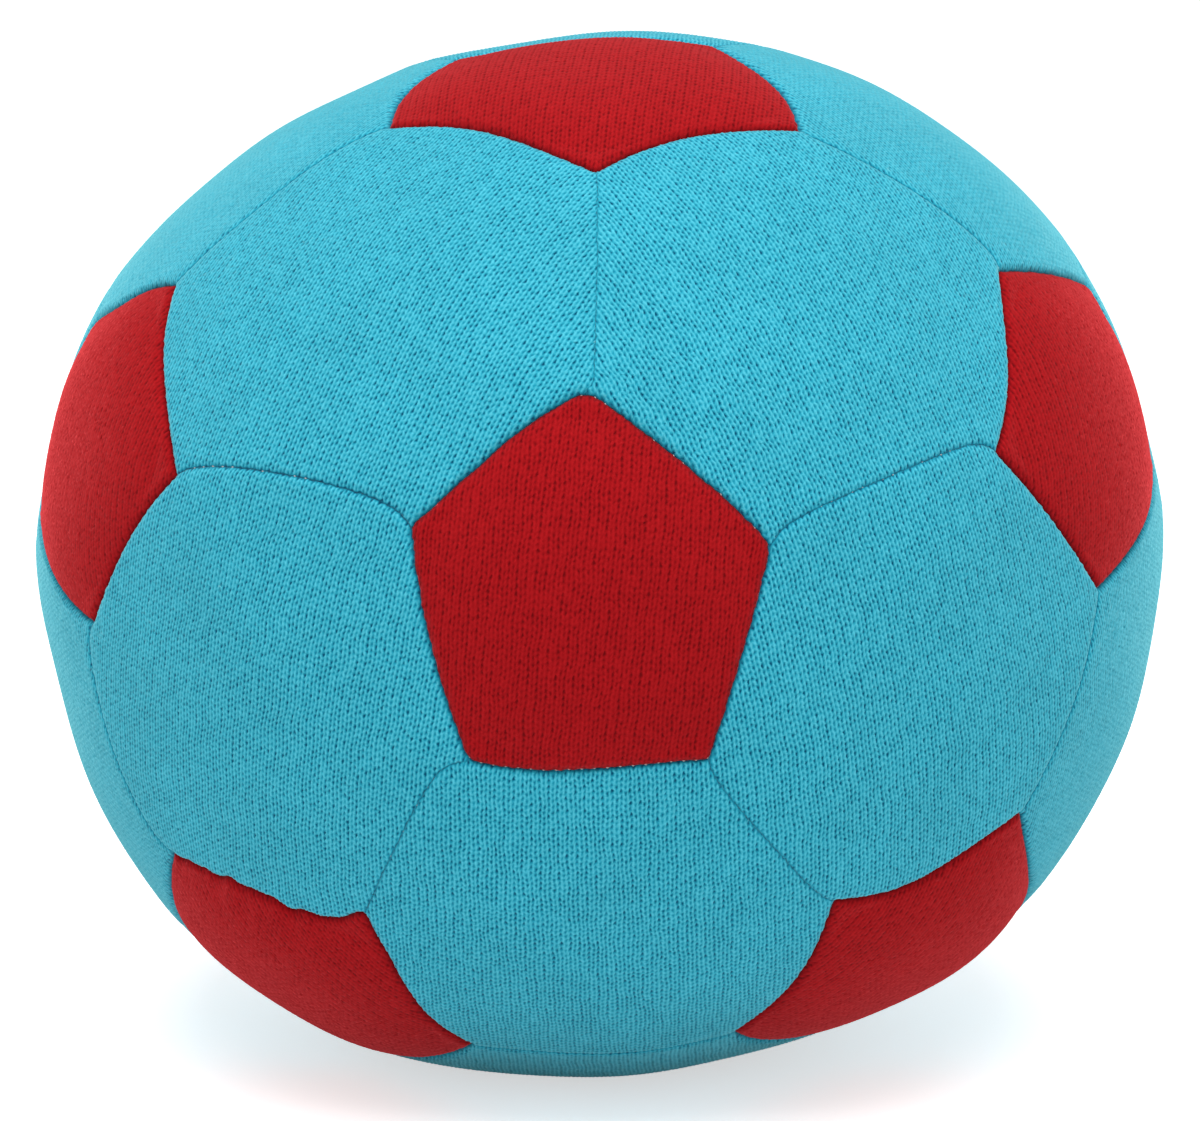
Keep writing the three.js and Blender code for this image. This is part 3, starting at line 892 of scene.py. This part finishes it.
# Materials
def linear(red, green, blue):
    """A colour given in the usual 0 to 255 steps, as Blender mixes it, by the sRGB formula."""
    steps = np.array((red, green, blue)) / 255
    mixed = np.where(steps <= 0.04045, steps / 12.92, ((steps + 0.055) / 1.055) ** 2.4)
    return (*mixed, 1.0)


class Nodes:
    """A material's node tree, built up node by node."""

    def __init__(self, name):
        self.material = bpy.data.materials.new(name)
        self.material.use_nodes = True
        self.tree = self.material.node_tree
        self.shader = self.tree.nodes["Principled BSDF"]

    def add(self, kind, inputs=(), **settings):
        node = self.tree.nodes.new(kind)
        for key, value in settings.items():
            setattr(node, key, value)
        for socket, value in dict(inputs).items():
            self.feed(node.inputs[socket], value)
        return node

    def feed(self, socket, value):
        if isinstance(value, bpy.types.NodeSocket):
            self.tree.links.new(value, socket)
        else:
            socket.default_value = value

    def place(self):
        return self.add("ShaderNodeTexCoord").outputs["Object"]

    def noise(self, coordinates, scale, detail=2.0):
        settings = {"Vector": coordinates, "Scale": scale, "Detail": detail}
        return self.add("ShaderNodeTexNoise", settings).outputs["Fac"]

    def stretch(self, value, low, high):
        settings = {"Value": value, "To Min": low, "To Max": high}
        return self.add("ShaderNodeMapRange", settings).outputs["Result"]

    def times(self, first, second):
        return self.add("ShaderNodeMath", {0: first, 1: second}, operation="MULTIPLY").outputs[0]

    def ramp(self, value, stops):
        node = self.add("ShaderNodeValToRGB", {"Fac": value})
        elements = node.color_ramp.elements
        while len(elements) < len(stops):
            elements.new(0.5)
        for element, (position, colour) in zip(elements, stops):
            element.position = position
            element.color = colour
        return node.outputs["Color"]

    def shaded(self, colour, shade):
        """A colour times a shade. The mix node's sockets for colours are known by their numbers."""
        node = self.add("ShaderNodeMix", data_type="RGBA", blend_type="MULTIPLY")
        for socket, value in ((0, 1.0), (6, colour), (7, shade)):
            self.feed(node.inputs[socket], value)
        return node.outputs[2]

    def set(self, socket, value):
        self.feed(self.shader.inputs[socket], value)


def knit_material(name):
    looks = KNIT_LOOKS[name]
    nodes = Nodes(name)
    place = nodes.place()
    stitch = nodes.add("ShaderNodeAttribute", attribute_name="stitch").outputs["Fac"]
    fibres = nodes.stretch(nodes.noise(place, FIBRE_SCALE, FIBRE_DETAIL), *FIBRE_SHADES)
    patches = nodes.stretch(nodes.noise(place, PATCH_SCALE), *PATCH_SHADES)
    # The colour follows the yarn's height: painted shade in the holes and at the seams, and a painted
    # highlight on the yarn's tops
    stops = (
        (HOLE_HEIGHT, linear(*looks["hole"])),
        (YARN_HEIGHT, linear(*looks["yarn"])),
        (LIT_HEIGHT, linear(*looks["lit_yarn"])),
    )
    colour = nodes.ramp(stitch, stops)
    nodes.set("Base Color", nodes.shaded(colour, nodes.times(fibres, patches)))
    nodes.set("Roughness", KNIT_ROUGHNESS)
    nodes.set("Specular IOR Level", KNIT_SPECULAR)
    nodes.set("Sheen Weight", looks["sheen"])
    nodes.set("Sheen Roughness", SHEEN_ROUGHNESS)
    nodes.set("Sheen Tint", linear(*looks["fuzz"]))
    return nodes.material


def thread_material():
    nodes = Nodes("sewing_thread")
    shade = nodes.stretch(nodes.noise(nodes.place(), THREAD_SCALE), *THREAD_SHADES)
    nodes.set("Base Color", nodes.shaded(linear(*THREAD_COLOUR), shade))
    nodes.set("Roughness", THREAD_ROUGHNESS)
    return nodes.material


def filling_material():
    nodes = Nodes("fibre_fill")
    shade = nodes.stretch(nodes.noise(nodes.place(), FILL_SCALE, FILL_DETAIL), *FILL_SHADES)
    nodes.set("Base Color", nodes.shaded(linear(*FILL_COLOUR), shade))
    nodes.set("Roughness", FILL_ROUGHNESS)
    nodes.set("Sheen Weight", FILL_SHEEN)
    return nodes.material


MATERIALS = {
    "red_knit": knit_material("red_knit"),
    "turquoise_knit": knit_material("turquoise_knit"),
    "sewing_thread": thread_material(),
    "fibre_fill": filling_material(),
}


def dress(piece, slot, *nodes):
    piece.data.materials.clear()
    piece.data.materials.append(MATERIALS[slot])
    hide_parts(*nodes)
    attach(piece, "root")


filling = filling_piece()
dress(filling, "fibre_fill", "fibre_filling")

for panel in PANELS:
    knit = panel_piece(panel)
    dress(knit, panel.finish, panel.name)


def seams_of(name):
    """The seams that one pentagon's thread sews: round its edge and down to the pentagons below it."""
    near = neighbours(name)
    rim = [(name, near[index - 1], near[index]) for index in range(len(near))]
    below = [other for other in near if PENTAGONS[other][2] < PENTAGONS[name][2]]
    edges = [edge_ends(*names) for names in rim if names != CLOSING_SEAM]
    return edges + [spoke_ends(name, other) for other in below]


for name in PENTAGONS:
    thread = thread_piece(f"thread_{name}", seams_of(name))
    dress(thread, "sewing_thread", f"seam_thread_{name}")

closing = thread_piece("thread_closing", [edge_ends(*CLOSING_SEAM)])
dress(closing, "sewing_thread", "closing_thread")


# The floor, the light and the camera
def background_rays(tree):
    """1 for rays that show the white background, straight, in gloss or through glass, and otherwise 0."""
    path = tree.nodes.new("ShaderNodeLightPath")
    shown = path.outputs["Is Camera Ray"]
    for kind in ("Is Glossy Ray", "Is Transmission Ray"):
        either = tree.nodes.new("ShaderNodeMath")
        either.operation = "MAXIMUM"
        tree.links.new(shown, either.inputs[0])
        tree.links.new(path.outputs[kind], either.inputs[1])
        shown = either.outputs[0]
    return shown


def floor_material():
    nodes = Nodes("floor")
    nodes.set("Base Color", FLOOR_COLOUR)
    nodes.set("Roughness", FLOOR_ROUGHNESS)
    nodes.set("Emission Color", WHITE)
    nodes.set("Emission Strength", nodes.times(background_rays(nodes.tree), FLOOR_GLOW))
    return nodes.material


bpy.ops.mesh.primitive_plane_add(size=FLOOR_SIZE, location=(0, 0, 0))
floor = bpy.context.object
floor.name = "floor"
floor.data.materials.append(floor_material())


def light_world():
    """Even light from all round, in front of a white background."""
    world = bpy.data.worlds.new("studio")
    bpy.context.scene.world = world
    world.use_nodes = True
    tree = world.node_tree
    tree.nodes.clear()
    either = tree.nodes.new("ShaderNodeMixShader")
    tree.links.new(background_rays(tree), either.inputs[0])
    for index, strength in ((1, WORLD_LIGHT), (2, WORLD_BACKGROUND)):
        light = tree.nodes.new("ShaderNodeBackground")
        light.inputs["Color"].default_value = WHITE
        light.inputs["Strength"].default_value = strength
        tree.links.new(light.outputs[0], either.inputs[index])
    out = tree.nodes.new("ShaderNodeOutputWorld")
    tree.links.new(either.outputs[0], out.inputs["Surface"])


def softbox(name, place, size, power):
    data = bpy.data.lights.new(name, "AREA")
    data.shape = "SQUARE"
    data.size = size
    data.energy = power
    lamp = bpy.data.objects.new(name, data)
    lamp.location = place
    aim = Vector((0, 0, CENTRE_HEIGHT)) - Vector(place)
    lamp.rotation_euler = aim.to_track_quat("-Z", "Y").to_euler()
    bpy.context.scene.collection.objects.link(lamp)


light_world()
softbox("key", LAMP_PLACE, LAMP_SIZE, LAMP_POWER)

camera_data = bpy.data.cameras.new("camera")
camera = bpy.data.objects.new("camera", camera_data)
bpy.context.scene.collection.objects.link(camera)
elevation = math.radians(CAMERA_ELEVATION)
back = Vector((0, -math.cos(elevation), math.sin(elevation)))
camera.location = Vector((0, 0, CENTRE_HEIGHT)) + back * CAMERA_DISTANCE
camera.rotation_euler = (-back).to_track_quat("-Z", "Y").to_euler()
camera_data.sensor_width = SENSOR_WIDTH
camera_data.lens = SENSOR_WIDTH * FOCAL_PIXELS / IMAGE_WIDTH
camera_data.shift_x = (IMAGE_WIDTH / 2 - CENTRE_PIXEL_X) / IMAGE_WIDTH
camera_data.shift_y = (CENTRE_PIXEL_Y - IMAGE_HEIGHT / 2) / IMAGE_WIDTH
camera_data.clip_start = CLIP_START
camera_data.clip_end = CLIP_END
bpy.context.scene.camera = camera
bpy.context.scene.view_settings.view_transform = "Standard"
